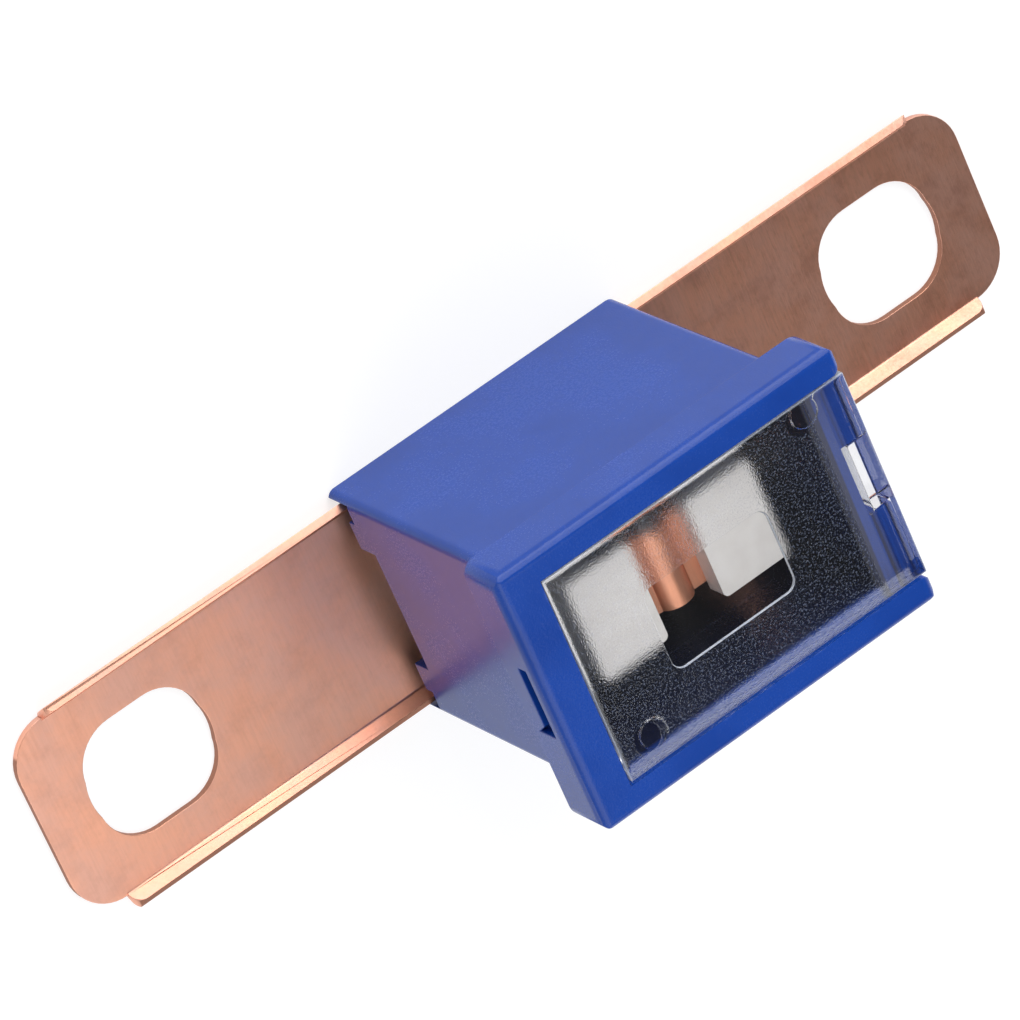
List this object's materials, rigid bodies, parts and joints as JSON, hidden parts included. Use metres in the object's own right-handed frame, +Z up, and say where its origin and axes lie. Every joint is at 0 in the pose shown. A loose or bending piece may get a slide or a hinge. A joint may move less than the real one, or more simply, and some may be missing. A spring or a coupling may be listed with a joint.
{
  "type": "bolt-down fuse",
  "caption": "Automotive bolt-down fuse: a rectangular plastic housing with a clear front cover and a flat slotted copper terminal reaching out of each end.",
  "frame": {"origin": "midway between the two bolt holes, on the plane of the terminals' undersides", "axes": "+X along the fuse, towards the terminal at the cover's latch; +Z up, out through the clear cover; Y across the terminals"},
  "size_m": [0.0574, 0.0144, 0.0179],
  "materials": {
    "blue_plastic": "satin moulded nylon",
    "clear_plastic": "clear moulded plastic, finely grained outside the polished window",
    "copper": "bare rolled copper sheet, dulled; brass stands in for copper",
    "tin": "dull cast tin; steel stands in for tin",
    "white_plastic": "white heat-resistant plastic"
  },
  "bodies": {
    "root": {"housing": "blue_plastic", "clear_cover": "clear_plastic", "bottom_cover": "blue_plastic", "fuse_strip": "copper", "tin_pellet": "tin", "left_insulator": "white_plastic", "right_insulator": "white_plastic"}
  },
  "joints": []
}
